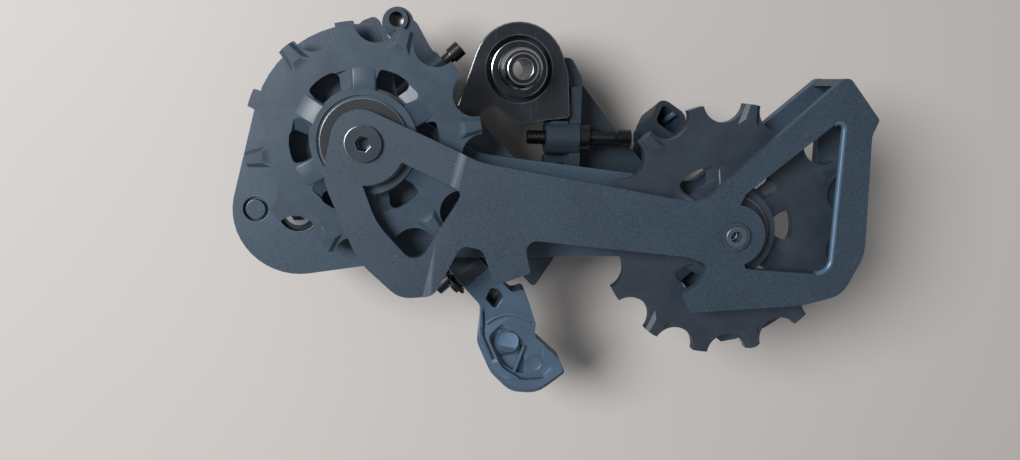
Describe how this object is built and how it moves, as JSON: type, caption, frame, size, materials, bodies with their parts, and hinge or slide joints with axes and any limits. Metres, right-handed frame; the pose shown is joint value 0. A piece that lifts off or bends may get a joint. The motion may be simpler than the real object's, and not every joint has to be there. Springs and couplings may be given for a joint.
{
  "type": "rear bicycle derailleur",
  "caption": "Rear bicycle derailleur: slanted parallelogram on a hanger bolt, damped cage pivot, long two-plate cage with toothed guide and tension pulleys.",
  "frame": {"origin": "on the hanger bolt's axis at the seat that meets the bicycle's hanger", "axes": "+Z inboard along the hanger bolt, towards the wheel; +X to the rear along the cage as it lies in the picture; +Y up across it"},
  "size_m": [0.1487, 0.0987, 0.0506],
  "materials": {
    "steel": "turned, bare",
    "black_steel": "blackened",
    "band_steel": "ground",
    "spring_steel": "drawn wire",
    "bolt_grey": "dark plated",
    "black_metal": "glossy black anodised",
    "charcoal_metal": "dark powder coat",
    "slate_metal": "fine-grained slate powder coat",
    "fin_metal": "satin blue-grey",
    "cap_metal": "dark anodised",
    "charcoal_plastic": "moulded",
    "pulley_plastic": "moulded slate grey",
    "seal_rubber": "moulded"
  },
  "bodies": {
    "hanger": {"hanger_bolt": "steel", "hanger_washer": "steel"},
    "mount_knuckle": {"hanger_plate": "black_metal", "mount_knuckle": "charcoal_metal", "b_screw_collar": "black_steel", "mount_pin_inner": "steel", "mount_pin_outer": "steel", "pin_clips": "steel", "return_spring": "spring_steel"},
    "b_screw": {"b_screw": "black_steel"},
    "inner_link": {"inner_link": "slate_metal", "cable_fin": "fin_metal", "anchor_bolt": "steel", "anchor_washer": "steel"},
    "outer_link": {"outer_link": "charcoal_metal"},
    "cage_knuckle": {"cage_knuckle": "charcoal_metal", "cage_pin_inner": "steel", "cage_pin_outer": "steel", "clutch_cover": "charcoal_plastic", "cover_screws": "steel", "clutch_band": "band_steel", "clutch_rollers": "steel", "cage_spring": "spring_steel"},
    "high_limit_screw": {"high_limit_screw": "black_steel"},
    "low_limit_screw": {"low_limit_screw": "black_steel"},
    "cage": {"clutch_hub": "steel", "cage_axle": "steel", "axle_clip": "black_steel", "pivot_seal": "seal_rubber", "stop_pin": "slate_metal", "outer_cage_plate": "slate_metal", "inner_cage_plate": "slate_metal", "guide_bolt": "bolt_grey", "guide_sleeve": "steel", "tension_bolt": "steel", "tension_sleeve": "steel"},
    "guide_pulley": {"guide_pulley": "pulley_plastic", "guide_bearing": "steel", "guide_dust_caps": "cap_metal"},
    "tension_pulley": {"tension_pulley": "pulley_plastic", "tension_bearing": "steel", "tension_dust_caps": "cap_metal"}
  },
  "joints": [
    {"name": "hanger_pivot", "type": "hinge", "parent": "hanger", "child": "mount_knuckle", "pos_m": [0, 0, 0], "axis": [0, 0, 1], "range_deg": [-20, 20]},
    {"name": "b_screw_advance", "type": "slide", "parent": "mount_knuckle", "child": "b_screw", "axis": [1, 0, 0], "range_m": [-0.0045, 0.004]},
    {"name": "shift", "type": "hinge", "parent": "mount_knuckle", "child": "inner_link", "pos_m": [0.0015, -0.03902, -0.0015], "axis": [0.7431, 0.6691, 0], "range_deg": [0, 52], "stiffness_Nm_per_rad": 0.6, "springref_deg": -34.38, "deforming": ["return_spring"]},
    {"name": "outer_swing", "type": "hinge", "parent": "mount_knuckle", "child": "outer_link", "pos_m": [0.0015, -0.03902, -0.013], "axis": [0.7431, 0.6691, 0], "range_deg": [0, 52]},
    {"name": "knuckle_swing", "type": "hinge", "parent": "inner_link", "child": "cage_knuckle", "pos_m": [-0.02824, -0.006, -0.01341], "axis": [0.7431, 0.6691, 0], "range_deg": [-52, 0]},
    {"name": "high_limit_advance", "type": "slide", "parent": "cage_knuckle", "child": "high_limit_screw", "axis": [0.7431, 0.6691, 0], "range_m": [-0.0015, 0.002]},
    {"name": "low_limit_advance", "type": "slide", "parent": "cage_knuckle", "child": "low_limit_screw", "axis": [0.7431, 0.6691, 0], "range_m": [-0.0015, 0.002]},
    {"name": "cage_swing", "type": "hinge", "parent": "cage_knuckle", "child": "cage", "pos_m": [-0.05243, -0.03396, 0], "axis": [0, 0, 1], "range_deg": [-135, 0], "stiffness_Nm_per_rad": 0.5, "springref_deg": 40.11},
    {"name": "guide_spin", "type": "hinge", "parent": "cage", "child": "guide_pulley", "pos_m": [-0.0361, -0.0169, 0.013], "axis": [0, 0, 1], "continuous": true},
    {"name": "tension_spin", "type": "hinge", "parent": "cage", "child": "tension_pulley", "pos_m": [0.04898, -0.03733, 0.013], "axis": [0, 0, 1], "continuous": true}
  ],
  "couplings": [
    {"joint": "outer_swing", "follows": "shift", "ratio": 1},
    {"joint": "knuckle_swing", "follows": "shift", "ratio": -1}
  ]
}
